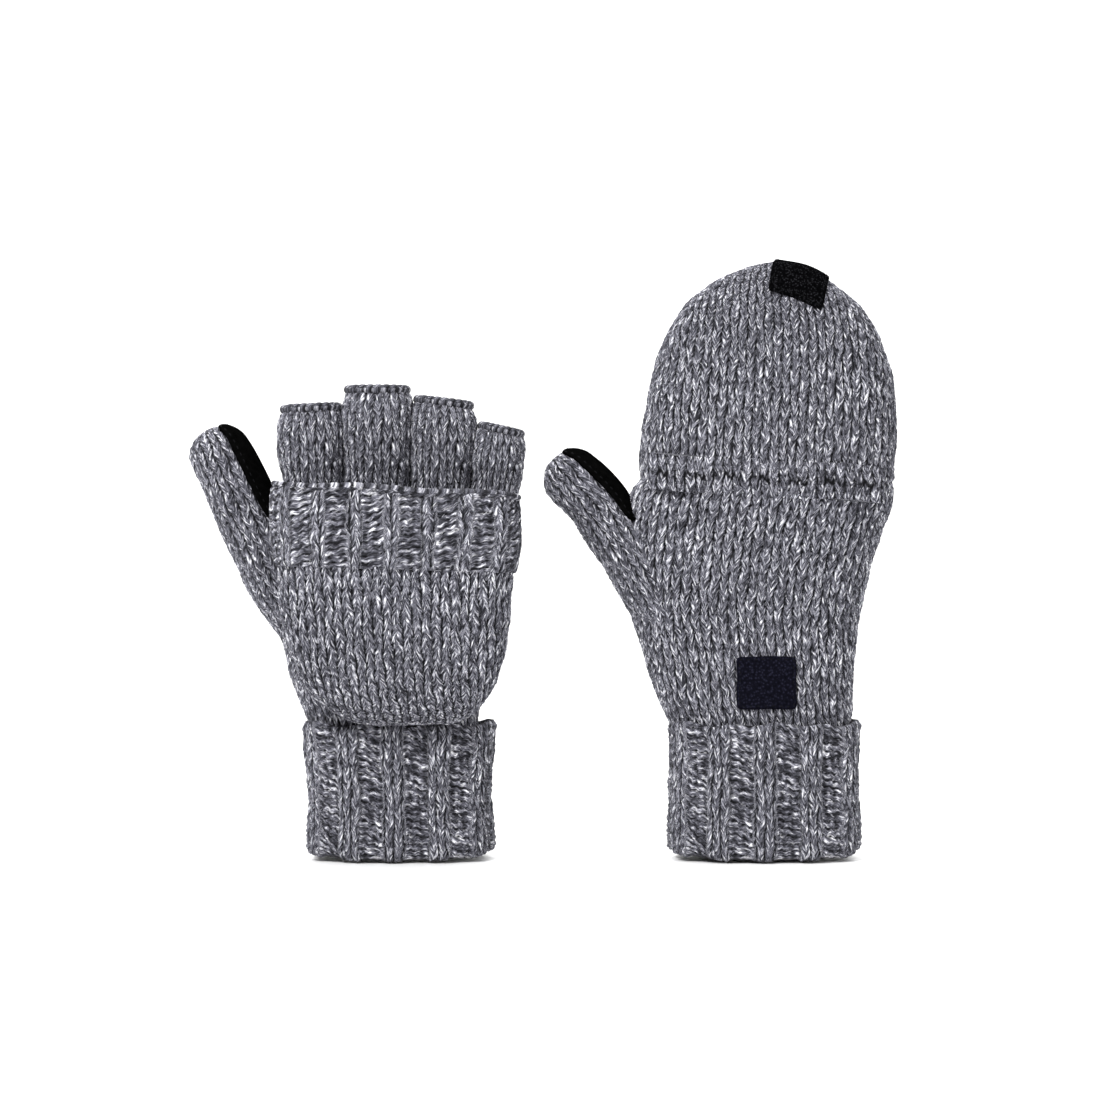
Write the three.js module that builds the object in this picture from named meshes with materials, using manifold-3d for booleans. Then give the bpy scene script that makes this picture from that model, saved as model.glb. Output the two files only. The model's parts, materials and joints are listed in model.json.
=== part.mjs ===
// A pair of convertible flip-top mittens in chunky knit, standing upright on their cuffs.
// Millimetres, +Z up. The backs of the hands face -Y and the thumbs point to -X.
// Mitten A has its cap folded back over the back of the hand; mitten B has its cap closed.
import * as THREE from 'three';
import { mergeVertices } from 'three/addons/utils/BufferGeometryUtils.js';
import Module from 'manifold-3d';

const wasm = await Module();
wasm.setup();

// ---------- driving dimensions shared by both mittens ----------
const KNIT = 3.0;            // thickness of one layer of knit
const GAP = 0.3;             // gap left between touching pieces
const AROUND = 24;           // corners round a tube
const SQUARENESS = 2.6;      // superellipse power of the tubes' sections
const BACK_Y = -20;          // flat back of the hand
const HINGE_Y = -21.7;       // the cap's fold line, just in front of the back of the hand
const CUFF_HEIGHT = 58;      // turned-up cuff
const CUFF_DEPTH = [-26, 25];
const CUFF_ROUNDING = 1.2;    // the cuff's lower edge is drawn in by this much
const PATCH = 1.2;           // thickness of the suede, hook and loop patches
const BAND_HEIGHT = 32;      // ribbed band across the cap's open edge
const BAND_PROUD = 2.5;      // how far the band stands out of the cap
const SEAM_HEIGHT = 3;       // knuckle seam
const CAP_LIFT = 2.4;        // the cap's rim lies this far below its fold line
const LOOP_PATCH = { width: 25, height: 22, z: 75 };
const HOOK_PATCH = { width: 23, x: 14, length: 19 };

// ---------- colours ----------
const WOOL = 0x74757d;
const WOOL_INSIDE = 0x4c4d55;
const SUEDE = 0x0b0b0d;
const HOOK_TAPE = 0x111216;
const LOOP_TAPE = 0x171826;

// ---------- the two mittens ----------
// edges: [height, left x, right x, palm y] of the knitted hand, from the cuff to the knuckles.
// cap: [distance from the fold line, left x, right x, back depth, palm depth], to the tip.
// capTip: [distance from the fold line, x, depth].
// stubs: name, left and right x at the base, left and right x at the top, height of the top.
const MITTENS = [
  {
    name: 'a', x: -61.7, folded: true, hingeZ: 153,
    cuff: { bottom: [-39, 40], middle: [-39, 39.5], top: [-42, 41.8] },
    edges: [
      [56.4, -37, 36, 18], [66, -41.5, 34.5, 19], [76, -45, 37, 19.5], [90, -48, 40, 20],
      [103, -51, 41.5, 20], [120, -50.5, 43, 19.5], [135, -49.3, 46.5, 18.5], [150, -49.3, 50, 17],
    ],
    cap: [
      [2.4, -47.8, 50.5, 1.7, 24], [31, -48, 48.5, 1.7, 24], [48, -46.5, 47.5, 1.7, 24],
      [63, -43.4, 46.4, 1.7, 23.5], [76, -38, 42, 1.7, 21.4], [85, -30, 36.4, 3.2, 17.8],
      [90.6, -19, 28, 6.4, 13.8],
    ],
    capTip: [93, 4, 10],
    stubs: [
      ['index', -49.2, -24.6, -50, -24, 188], ['middle', -24.1, 5, -23.5, 5.5, 195.7],
      ['ring', 5.5, 31.3, 6.1, 32.3, 190], ['little', 31.8, 49.8, 33.2, 53.3, 178.5],
    ],
    stubDepth: [-13, 6],
    thumb: { root: [-51.5, 119], tip: [-76, 169.5], rootR: 14.5, baseR: 13.2, midR: 12.6, tipR: 11.3 },
  },
  {
    name: 'b', x: 92.8, folded: false, hingeZ: 161,
    cuff: { bottom: [-41, 41], middle: [-41.5, 41.5], top: [-42, 41.8] },
    edges: [
      [56.4, -37, 37, 18], [66, -42.5, 37.8, 19], [78, -46.5, 38.4, 20], [92, -50, 39.4, 20.5],
      [105, -52, 41.5, 20.5], [122, -52, 46, 20.5], [140, -51.5, 50, 20.5], [158, -52, 54, 19.5],
    ],
    cap: [
      [2.4, -52.3, 55.3, 1.7, 42], [22, -51, 56.7, 1.7, 41], [43, -47.2, 54.6, 1.7, 39],
      [60, -41, 49, 1.7, 36], [71, -35, 41.5, 2, 32.5], [80, -25.5, 31.5, 3, 28],
      [87, -13, 20.5, 6, 22.5],
    ],
    capTip: [91, 1, 14],
    stubs: [
      ['index', -43, -22.6, -42, -22, 181], ['middle', -22.1, 3.6, -21.5, 4.2, 186],
      ['ring', 4.1, 28.4, 4.7, 29, 184], ['little', 28.9, 46.4, 29.5, 46, 177],
    ],
    stubDepth: [-9.5, 7.5],
    thumb: { root: [-48.5, 115], tip: [-81, 161], rootR: 15.5, baseR: 14.5, midR: 13.6, tipR: 11.4 },
  },
];

// ---------- helpers ----------
const solid = (geometry) => {
  for (const name of ['normal', 'uv']) geometry.deleteAttribute(name);
  const merged = mergeVertices(geometry, 1e-4);
  const { position } = merged.attributes;
  return new wasm.Manifold(new wasm.Mesh({
    numProp: 3, vertProperties: new Float32Array(position.array), triVerts: new Uint32Array(merged.index.array),
  }));
};

const geometryOf = (manifold) => {
  const { vertProperties, triVerts } = manifold.getMesh();
  const geometry = new THREE.BufferGeometry();
  geometry.setAttribute('position', new THREE.BufferAttribute(new Float32Array(vertProperties), 3));
  geometry.setIndex([...triVerts]);
  return geometry;
};

// The closed skin through a list of rings; two flat ends, or pointed where start or end is given.
// With wall true, the last ring is joined to the first, which makes the wall of a tube.
const loft = (rings, { wall = false, start = null, end = null } = {}) => {
  const n = rings[0].length;
  const points = rings.flat();
  const faces = [];
  const spans = wall ? rings.length : rings.length - 1;
  for (let i = 0; i < spans; i++) {
    for (let k = 0; k < n; k++) {
      const [a, b] = [i * n + k, i * n + ((k + 1) % n)];
      const j = ((i + 1) % rings.length) * n;
      const [c, d] = [j + k, j + ((k + 1) % n)];
      faces.push(a, b, d, a, d, c);
    }
  }
  const point = (p, ring, turned) => {
    points.push(p);
    for (let k = 0; k < n; k++) {
      const pair = [ring * n + k, ring * n + ((k + 1) % n)];
      if (turned) pair.reverse();
      faces.push(points.length - 1, ...pair);
    }
  };
  const middle = (ring) => ring.reduce((s, p) => s.map((v, i) => v + p[i] / n), [0, 0, 0]);
  if (!wall) {
    point(start ?? middle(rings[0]), 0, true);
    point(end ?? middle(rings[rings.length - 1]), rings.length - 1, false);
  }
  const geometry = new THREE.BufferGeometry();
  geometry.setAttribute('position', new THREE.BufferAttribute(new Float32Array(points.flat()), 3));
  geometry.setIndex(faces);
  const volume = faces.reduce((sum, _, f) => {
    if (f % 3) return sum;
    const [p, q, r] = [0, 1, 2].map((i) => new THREE.Vector3(...points[faces[f + i]]));
    return sum + p.dot(q.cross(r));
  }, 0);
  if (volume < 0) geometry.setIndex(faces.reverse());
  return solid(geometry);
};

// One ring of a tube: left and right x, near and far y, at height z.
const ring = (left, right, near, far, z, inset = 0, power = SQUARENESS) => {
  const [halfX, halfY] = [(right - left) / 2 - inset, (far - near) / 2 - inset];
  const bend = (v) => Math.sign(v) * Math.abs(v) ** (2 / power);
  return Array.from({ length: AROUND }, (_, k) => {
    const turn = (2 * Math.PI * (k + 0.5)) / AROUND;
    return [
      (left + right) / 2 + halfX * bend(Math.cos(turn)),
      (near + far) / 2 + halfY * bend(Math.sin(turn)), z,
    ];
  });
};

const box = (x, y, z) => {
  const geometry = new THREE.BoxGeometry(x[1] - x[0], y[1] - y[0], z[1] - z[0]);
  geometry.translate((x[0] + x[1]) / 2, (y[0] + y[1]) / 2, (z[0] + z[1]) / 2);
  return solid(geometry);
};

const lathe = (profile) => {
  const geometry = new THREE.LatheGeometry(profile.map(([r, z]) => new THREE.Vector2(r, z)), AROUND);
  geometry.rotateX(Math.PI / 2);                      // the lathe's axis, +Y, becomes +Z
  return solid(geometry);
};

// ---------- pieces ----------
// The knitted hand: a tube from the cuff to the knuckles, open at both ends.
const handShell = (mitten) => {
  const level = (inset) => mitten.edges.map(
    ([z, left, right, palm]) => ring(left, right, BACK_Y, palm, z, inset));
  return loft([...level(0), ...level(KNIT).reverse()], { wall: true });
};

// One layer of the cuff, with its lower edge rounded in.
const cuffLayer = (mitten, outset, height) => {
  const { bottom, middle, top } = mitten.cuff;
  const inset = KNIT + GAP - outset;
  const stations = [[0, bottom, CUFF_ROUNDING], [4, bottom, 0], [height * 0.45, middle, 0], [height, top, 0]];
  const level = (more) => stations.map(([z, [left, right], rounding]) => ring(
    left, right, ...CUFF_DEPTH, z, inset + (more ? KNIT : rounding)));
  return loft([...level(false), ...level(true).reverse()], { wall: true });
};

// A half-finger stub: a tube that leans from its base to its open top.
const stub = (mitten, [, left, right, topLeft, topRight, top]) => {
  const base = mitten.edges[mitten.edges.length - 1][0] + 0.4;
  const level = (inset) => [0, 0.5, 1].map((s) => ring(
    left + (topLeft - left) * s, right + (topRight - right) * s,
    ...mitten.stubDepth, base + (top - base) * s, inset, 2.2));
  return loft([...level(0), ...level(KNIT).reverse()], { wall: true });
};

// The thumb's frame: the root's centre, and the turn that lays +Z along the thumb.
const thumbFrame = ({ root, tip }) => {
  const along = new THREE.Vector3(tip[0] - root[0], 0, tip[1] - root[1]);
  const lean = Math.atan2(along.x, along.z);
  return new THREE.Matrix4().makeRotationY(lean).setPosition(root[0], 0, root[1]);
};

const placed = (manifold, matrix) => manifold.transform(matrix.elements);

// Outer profile of the thumb, [radius, distance along it], from its ball-shaped root to its tip.
const thumbProfile = ({ root, tip, rootR, baseR, midR, tipR }, offset) => {
  const length = Math.hypot(tip[0] - root[0], tip[1] - root[1]);
  const arc = (centre, radius, from, to, steps) => Array.from({ length: steps + 1 }, (_, i) => {
    const angle = from + ((to - from) * i) / steps;
    return [radius * Math.cos(angle), centre + radius * Math.sin(angle)];
  });
  const blend = Math.acos((baseR + offset) / (rootR + offset));
  return [
    ...arc(0, rootR + offset, -0.75, blend, 4), [baseR - 0.3 + offset, length * 0.32],
    [midR + offset, length * 0.62], ...arc(length, tipR + offset, 0.12, Math.PI / 2 - 0.25, 3),
    [0, length + tipR + offset],
  ];
};

const thumbWall = (thumb) => lathe([...thumbProfile(thumb, 0), ...thumbProfile(thumb, -KNIT).reverse(),
  thumbProfile(thumb, 0)[0]]);

const thumbFilled = (thumb, offset) => {
  const profile = thumbProfile(thumb, offset);
  return lathe([[0, profile[0][1]], ...profile]);
};

// The room the thumb needs as it swings about its root.
const THUMB_SWING = [-10, 5, 20, 35, 40];
const thumbRoom = (thumb) => {
  const filled = thumbFilled(thumb, GAP + PATCH + 0.5);
  const frame = thumbFrame(thumb);
  const turned = THUMB_SWING.map((degrees) => {
    const swing = new THREE.Matrix4().makeRotationX(-THREE.MathUtils.degToRad(degrees));
    return placed(filled, frame.clone().multiply(swing));
  });
  const ball = new THREE.SphereGeometry(thumb.rootR + 0.6, AROUND, 16);
  ball.translate(thumb.root[0], 0, thumb.root[1]);
  return wasm.Manifold.union([...turned, solid(ball)]);
};

// Suede patch down the inner side of the thumb: a skin over the thumb, kept on one side.
const THUMB_PATCH = { from: 19, to: 66, side: 6 };
const thumbPatch = (thumb) => {
  const skin = thumbFilled(thumb, GAP + PATCH).subtract(thumbFilled(thumb, GAP));
  return skin.intersect(box([THUMB_PATCH.side, 40], [-30, 30], [THUMB_PATCH.from, THUMB_PATCH.to]));
};

// The cap in its own frame: x across, y from the fold line towards the palm, z to the tip.
const capRings = (mitten, offset, stations = mitten.cap) => stations.map(
  ([along, left, right, back, palm]) => ring(left, right, back, palm, along, -offset));
const capTip = ({ capTip: [along, x, depth] }, offset) => [x, depth, along + offset];

const capFilled = (mitten, offset, start = -CAP_LIFT) => {
  const [first, ...rest] = mitten.cap;
  const stations = [[start, ...first.slice(1)], ...rest];
  return loft(capRings(mitten, offset, stations), { end: capTip(mitten, offset) });
};

const capPouch = (mitten) => capFilled(mitten, 0).subtract(capFilled(mitten, -KNIT, -CAP_LIFT - 5));

const bandZone = (mitten, start, end) => box(
  [-90, 90], [mitten.cap[0][4] * 0.42, 80], [start, end]);

const capShell = (mitten) => capPouch(mitten).subtract(bandZone(mitten, -20, BAND_HEIGHT));

const capBand = (mitten) => {
  const outer = capFilled(mitten, BAND_PROUD);
  const inner = capFilled(mitten, -KNIT, -CAP_LIFT - 5);
  const zone = box([-90, 90], [mitten.cap[0][4] * 0.42 + GAP, 80], [-CAP_LIFT, BAND_HEIGHT - GAP]);
  return outer.subtract(inner).intersect(zone);
};

// Hook tape on the back of the cap's tip.
const hookPatch = (mitten) => {
  const skin = capFilled(mitten, GAP + PATCH).subtract(capFilled(mitten, GAP));
  const { width, x, length } = HOOK_PATCH;
  const tip = mitten.capTip[0];
  const middle = mitten.capTip[2];
  return skin.intersect(box([x - width / 2, x + width / 2], [-30, middle], [tip - length, tip + 9]));
};

const loopPatch = () => {
  const { width, height, z } = LOOP_PATCH;
  const far = BACK_Y - GAP;
  return box([-width / 2, width / 2], [far - PATCH, far], [z - height / 2, z + height / 2]);
};

// Knuckle seam: a flat rib across the back of the hand, just under the cap's fold line.
const knuckleSeam = (mitten) => {
  const [top, left, right] = mitten.edges[mitten.edges.length - 1];
  const far = BACK_Y - GAP;
  return box([left * 0.86, right * 0.86], [far - 1.1, far], [top - 0.4 - SEAM_HEIGHT, top - 0.4]);
};

// The cap stands up from its fold line when closed, and hangs in front of the hand when folded.
const capFrame = (mitten) => new THREE.Matrix4()
  .makeTranslation(0, HINGE_Y, mitten.hingeZ)
  .multiply(new THREE.Matrix4().makeRotationX(mitten.folded ? Math.PI : 0));

// ---------- assembly ----------
const material = (color, roughness) => new THREE.MeshStandardMaterial({ color, roughness, metalness: 0 });

const pieces = (mitten) => {
  const cap = capFrame(mitten);
  const thumb = thumbFrame(mitten.thumb);
  const inner = cuffLayer(mitten, -GAP, CUFF_HEIGHT - 2);
  return [
    ['hand_shell', handShell(mitten).subtract(thumbRoom(mitten.thumb)), WOOL],
    ['cuff_inner', inner, WOOL_INSIDE],
    ['cuff_turnup', cuffLayer(mitten, KNIT + GAP, CUFF_HEIGHT), WOOL],
    ...mitten.stubs.map((row) => [`${row[0]}_stub`, stub(mitten, row), WOOL]),
    ['knuckle_seam', knuckleSeam(mitten), WOOL_INSIDE],
    ['loop_patch', loopPatch(), LOOP_TAPE],
    ['thumb_shell', placed(thumbWall(mitten.thumb), thumb), WOOL],
    ['thumb_grip_patch', placed(thumbPatch(mitten.thumb), thumb), SUEDE],
    ['cap_shell', placed(capShell(mitten), cap), WOOL],
    ['cap_band', placed(capBand(mitten), cap), WOOL],
    ['cap_hook_patch', placed(hookPatch(mitten), cap), HOOK_TAPE],
  ];
};

const pair = new THREE.Group();
for (const mitten of MITTENS) {
  const group = new THREE.Group();
  for (const [name, manifold, color] of pieces(mitten)) {
    const mesh = new THREE.Mesh(geometryOf(manifold), material(color, 0.95));
    mesh.name = `${mitten.name}_${name}`;
    group.add(mesh);
  }
  group.position.x = mitten.x;
  pair.add(group);
}

// The origin is the middle of the pair's bounding box, at the level of the cuffs' lower edges.
const bounds = new THREE.Box3().setFromObject(pair);
const middle = bounds.getCenter(new THREE.Vector3());
pair.position.set(-middle.x, -middle.y, -bounds.min.z);

export default pair;
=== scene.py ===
# %% [markdown]
# # Convertible flip-top mittens in chunky marled knit
#
# A pair of mittens stands on turned-up cuffs. Mitten A has its cap folded back, so four
# open finger stubs show; mitten B has its cap closed. The fixed frame gives every place
# and every fold line, and this script dresses it in wool.
#
# Knit is a surface with a regular relief, so each piece here is one closed skin whose
# stitches are worked out as a height over the skin. That keeps the pieces watertight,
# light enough to bake, and free of thousands of separate loops of yarn.

# %% Load the frame
import json
import math

import bpy
import numpy as np
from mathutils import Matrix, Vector


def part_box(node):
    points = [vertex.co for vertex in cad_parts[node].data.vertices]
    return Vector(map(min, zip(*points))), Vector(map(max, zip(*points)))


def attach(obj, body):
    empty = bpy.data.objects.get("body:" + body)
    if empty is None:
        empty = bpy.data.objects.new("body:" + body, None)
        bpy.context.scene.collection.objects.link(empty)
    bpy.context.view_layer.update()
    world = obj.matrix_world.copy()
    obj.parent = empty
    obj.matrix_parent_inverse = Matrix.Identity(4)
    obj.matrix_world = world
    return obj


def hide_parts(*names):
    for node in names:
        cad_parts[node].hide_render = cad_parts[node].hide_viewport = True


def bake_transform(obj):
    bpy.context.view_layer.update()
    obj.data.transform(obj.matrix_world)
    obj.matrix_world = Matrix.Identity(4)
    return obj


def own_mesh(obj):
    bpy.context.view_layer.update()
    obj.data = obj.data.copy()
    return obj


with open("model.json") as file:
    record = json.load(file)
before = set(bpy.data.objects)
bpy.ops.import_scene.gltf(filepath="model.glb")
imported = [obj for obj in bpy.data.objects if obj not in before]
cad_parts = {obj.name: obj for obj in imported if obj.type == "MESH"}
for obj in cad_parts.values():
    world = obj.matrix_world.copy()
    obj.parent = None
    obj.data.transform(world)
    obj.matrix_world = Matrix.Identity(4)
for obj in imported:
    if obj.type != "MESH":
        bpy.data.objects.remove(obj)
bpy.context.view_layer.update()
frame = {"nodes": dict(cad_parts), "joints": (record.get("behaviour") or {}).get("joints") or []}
joints = {joint["name"]: joint for joint in frame["joints"]}
MM = 0.001
print("frame nodes:", len(frame["nodes"]), "joints:", list(joints))

# %% [markdown]
# ## Camera
# The mittens are seen square on from the back of the hand, from a bit over a metre away
# and level with the middle of the pair, so that verticals stay upright.

# %% Make the camera
CAMERA_DISTANCE = 1.12
CAMERA_HEIGHT = 0.1262
CAMERA_X = 0.0054
VIEW_WIDTH = 0.4704

camera_data = bpy.data.cameras.new("camera")
camera = bpy.data.objects.new("camera", camera_data)
bpy.context.scene.collection.objects.link(camera)
bpy.context.scene.camera = camera
camera.location = (CAMERA_X, -CAMERA_DISTANCE, CAMERA_HEIGHT)
camera.rotation_euler = (math.pi / 2, 0, 0)
camera_data.sensor_width = 36
camera_data.lens = 36 * CAMERA_DISTANCE / VIEW_WIDTH
print("lens, mm:", round(camera_data.lens, 1))

# %% [markdown]
# ## Shader sums as plain Python
# A material's sums are easier to read as expressions. `Sock` wraps one output socket and
# turns + - * / into Math nodes, and `Paint` builds any other node from its type.

# %% Wrap sockets
class Sock:
    """A node's output; arithmetic on it adds Math nodes."""

    def __init__(self, paint, socket):
        self.paint, self.socket = paint, socket

    def math(self, operation, *values):
        return self.paint.node("ShaderNodeMath", {"operation": operation}, *values)

    def __add__(self, other): return self.math("ADD", self, other)
    def __radd__(self, other): return self.math("ADD", other, self)
    def __sub__(self, other): return self.math("SUBTRACT", self, other)
    def __rsub__(self, other): return self.math("SUBTRACT", other, self)
    def __mul__(self, other): return self.math("MULTIPLY", self, other)
    def __rmul__(self, other): return self.math("MULTIPLY", other, self)


class Paint:
    """One material: its nodes, and its principled shader's plain values and links."""

    def __init__(self, name):
        self.material = bpy.data.materials.new(name)
        self.material.use_nodes = True
        self.tree = self.material.node_tree
        self.shader = self.tree.nodes["Principled BSDF"]

    def put(self, socket, value):
        if isinstance(value, Sock):
            self.tree.links.new(value.socket, socket)
        elif value is not None:
            is_colour = socket.type == "RGBA" and len(value) == 3
            socket.default_value = (*value, 1) if is_colour else value

    def node(self, kind, settings, *values, out=0, **named):
        made = self.tree.nodes.new(kind)
        stops = settings.pop("stops", None)
        for key, value in settings.items():
            setattr(made, key, value)
        if stops:
            ramp = made.color_ramp
            while len(ramp.elements) < len(stops):
                ramp.elements.new(1.0)
            for element, (place, colour) in zip(ramp.elements, stops):
                element.position, element.color = place, (*colour, 1)
        for socket, value in zip(made.inputs, values):
            self.put(socket, value)
        for key, value in named.items():
            self.put(made.inputs[key.replace("_", " ")], value)
        return Sock(self, made.outputs[out])

    def mix(self, factor, a, b):
        made = self.tree.nodes.new("ShaderNodeMix")
        made.data_type = "RGBA"
        for socket, value in zip((made.inputs[0], made.inputs[6], made.inputs[7]), (factor, a, b)):
            self.put(socket, value)
        return Sock(self, made.outputs[2])

    def surface(self, **named):
        for key, value in named.items():
            self.put(self.shader.inputs[key.replace("_", " ")], value)
        return self.material


def grey(value, blue=1.0):
    """A colour of one lightness, with its blue raised a little."""
    return (value, value, value * blue)


# %% [markdown]
# ## The two mittens, in millimetres
# Each outline is a short list of stations up the piece: height, left edge, right edge, and
# the y of the back and of the palm. x is counted from the middle of the mitten's cuff, and
# y is counted so that the back of the hand lies at -20. A cap's stations say the distance
# from the fold line, the two edges, and the depths of its back and palm behind the fold.
# A stub says its left and right x at the root and at the rim, and the rim's height. A thumb
# says the x and z of its middle line, and its radii across and from back to palm. The fold
# line's place comes from the frame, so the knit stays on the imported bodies.

# %% Describe the shapes
BACK = -20.0
FOLD_IN_FRONT = 1.7          # the fold line lies this far in front of the back of the hand
MITTENS = {
    "a": {
        "cuff": [(0, -38.2, 39.2, -24.6, 23.6), (3, -39.8, 40.8, -25.9, 24.9),
                 (14, -39.6, 40.4, -26, 25), (30, -39.4, 39.8, -26, 25), (45, -41, 40.6, -26, 25),
                 (57.6, -42.4, 41.8, -26.4, 25.2)],
        "hand": [(50, -36, 35, BACK, 18), (60, -38.6, 34.2, BACK, 18.5), (66, -41.8, 34.6, BACK, 19),
                 (76, -45.4, 37, BACK, 19.5), (90, -48.6, 40, BACK, 20), (103, -52.2, 41.5, BACK, 20),
                 (120, -52, 43, BACK, 19.5), (135, -49.8, 46.5, BACK, 18.5), (146, -49.4, 50, -19, 15),
                 (151, -46.8, 47.8, -16, 9), (156, -43.6, 45, -13.6, 3)],
        "cap": [(-2.4, -48.2, 50.5, 1.7, 24), (14, -48.4, 50.2, 1.7, 24), (31, -48, 49, 1.7, 24),
                (48, -46.8, 48.6, 1.7, 24), (63, -43.4, 46.4, 1.7, 23.5), (76, -38, 42, 1.9, 21.4),
                (86, -30.6, 37, 3.2, 17.8), (92.4, -19.6, 28.4, 6.4, 13.8), (95.2, 3.9, 4.1, 9.9, 10.1)],
        "stubs": {"index": (-48.8, -23.0, -50.2, -23.4, 190.4), "middle": (-23.4, 5.2, -23.1, 5.5, 198.2),
                  "ring": (4.8, 31.0, 6.2, 32.4, 192.8), "little": (29.4, 50.0, 33.4, 53.8, 181.2)},
        "stub_depth": (-13.5, 6.5),
        "thumb": [(-36, 88, 9, 12), (-42.5, 102, 11.5, 15), (-51.5, 119, 13.8, 15.4),
                  (-63.5, 144, 13.6, 13.2), (-70.8, 160, 13.4, 12.6), (-75.6, 170.2, 12.6, 12.0)],
    },
    "b": {
        "cuff": [(0, -39.6, 39.6, -24.6, 23.6), (3, -41.2, 41.2, -25.9, 24.9),
                 (14, -41.4, 41.4, -26, 25), (30, -41, 41, -26, 25), (45, -40.6, 40.8, -26, 25),
                 (57.6, -42.2, 41.8, -26.4, 25.2)],
        "hand": [(50, -36.5, 36.5, BACK, 18), (60, -41, 37.4, BACK, 18.5), (66, -44.2, 37.8, BACK, 19),
                 (78, -48.0, 38.5, BACK, 20), (92, -52.4, 39.5, BACK, 20.5),
                 (105, -56.6, 41.5, BACK, 20.5), (122, -58.2, 46, BACK, 20.5),
                 (140, -58.4, 51.2, BACK, 20.5), (152, -57.0, 54.8, BACK, 19.5),
                 (157.5, -54.4, 54.8, -19.6, 18), (163, -50.0, 52.2, -17.4, 15.4)],
        "cap": [(-2.4, -52.4, 55.3, 1.7, 42), (8, -52.2, 56.2, 1.7, 41.6), (22, -51.2, 56.7, 1.7, 41),
                (43, -47.3, 54.6, 1.7, 39), (60, -41.2, 49.3, 1.7, 36), (71, -34.6, 42, 1.8, 32.5),
                (80, -25, 31.6, 3, 28), (87.5, -11.5, 19.5, 6.4, 22), (91, 3.9, 4.1, 13.9, 14.1)],
        "stubs": {"index": (-44.6, -22.6, -44, -22, 182.0), "middle": (-22.1, 3.6, -21.5, 4.2, 186.0),
                  "ring": (4.1, 28.4, 4.7, 29, 184.0), "little": (28.9, 47.4, 29.5, 48, 178.0)},
        "stub_depth": (-9.8, 7.8),
        "thumb": [(-36, 90, 8.5, 13), (-43, 103, 10.8, 15.5), (-50.2, 116, 11.8, 15.5),
                  (-61.2, 134, 12.0, 14.2), (-70.2, 149.2, 12.8, 12.8), (-80.6, 160.2, 12.3, 11.8)],
    },
}
for key, mitten in MITTENS.items():
    fold = [v / MM for v in joints[f"{key}_cap_flip"]["pos_m"]]
    mitten["middle"] = (fold[0], fold[1] + FOLD_IN_FRONT - BACK)
    mitten["fold_y"] = BACK - FOLD_IN_FRONT
    mitten["fold_z"] = fold[2]
    mitten["folded"] = joints[f"{key}_cap_flip"]["axis"][0] < 0
    print(key, "middle", mitten["middle"], "fold at z", mitten["fold_z"], "folded", mitten["folded"])

# %% [markdown]
# ## Surfaces on a grid
# A piece starts as a smooth skin: rings of superellipses whose edges run smoothly through
# the stations. A cubic through the stations, spaced by distance along the outline, keeps
# both the long sides and the round tips free of kinks.

# %% Skins from stations
ROUND_ABOUT = 2.6


def through(stations, count):
    """Rows spaced evenly along a smooth curve through the stations.

    Each column is a cubic Hermite curve over the distance travelled along the stations,
    with the slope at a station taken from its two neighbours. Returns the rows and the
    distance of each.
    """
    points = np.array(stations, float)
    steps = np.linalg.norm(np.diff(points, axis=0)[:, :3], axis=1)
    at = np.concatenate([[0], np.cumsum(steps)])
    slope = np.gradient(points, at, axis=0)
    where = np.linspace(0, at[-1], count)
    i = np.clip(np.searchsorted(at, where, side="right") - 1, 0, len(at) - 2)
    span = (at[i + 1] - at[i])[:, None]
    t = ((where - at[i])[:, None]) / span
    rows = (
        (2 * t**3 - 3 * t**2 + 1) * points[i] + (t**3 - 2 * t**2 + t) * span * slope[i]
        + (3 * t**2 - 2 * t**3) * points[i + 1] + (t**3 - t**2) * span * slope[i + 1]
    )
    return rows, where


def even_angles(turns, wide=2.2, power=ROUND_ABOUT):
    """Angles that cut a superellipse, wide times as broad as deep, into equal lengths."""
    fine = np.linspace(0, 2 * np.pi, 2881)
    x = wide * np.sign(np.sin(fine)) * np.abs(np.sin(fine)) ** (2 / power)
    y = np.sign(np.cos(fine)) * np.abs(np.cos(fine)) ** (2 / power)
    length = np.concatenate([[0], np.cumsum(np.hypot(np.diff(x), np.diff(y)))])
    return np.interp(turns * length[-1], length, fine)


def rings(rows, turns, power=ROUND_ABOUT, wide=2.2):
    """Superellipse rings: x runs from left to right edge, y from back to palm.

    A turn of 0 is the middle of the palm, 0.25 the left edge, 0.5 the middle of the back.
    """
    z, left, right, back, palm = (rows[:, k, None] for k in range(5))
    angle = even_angles(turns, wide, power)[None, :]
    bend = lambda v: np.sign(v) * np.abs(v) ** (2 / power)
    x = (left + right) / 2 - (right - left) / 2 * bend(np.sin(angle))
    y = (back + palm) / 2 + (palm - back) / 2 * bend(np.cos(angle))
    return np.stack([x, y, np.broadcast_to(z, x.shape)], axis=-1)


def normals(points):
    """Unit normals of a grid that closes on itself along its second axis."""
    along = np.gradient(points, axis=0)
    around = np.roll(points, -1, axis=1) - np.roll(points, 1, axis=1)
    n = np.cross(around, along)
    return n / np.maximum(np.linalg.norm(n, axis=-1, keepdims=True), 1e-9)


# %% [markdown]
# ## Stitches as a height
# Plain knitting is columns of Vs. Each V is two slanted legs of yarn, and a leg tucks under
# the one above it. Counting columns with `wale` and rows with `course`, half a column is one
# stack of legs, so the height is a round across that stack times a round along it, with the
# row count slanted one way in the left half and the other way in the right half. The same
# slanted count also tells the paint where it is on the yarn.

# %% Work out the relief
WALE = 3.9                   # mm across one stitch
COURSE = 3.0                 # mm up one stitch
SLANT = 1.45                 # rows a leg climbs as it crosses half a column
YARN_HIGH = 1.9              # mm from groove to crest
PER_STITCH = 6               # grid cells across one stitch
UP_STITCH = 0.72             # grid cells up one stitch, as a share of those across
LUMP_HIGH = 0.5              # mm of slow unevenness


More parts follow.
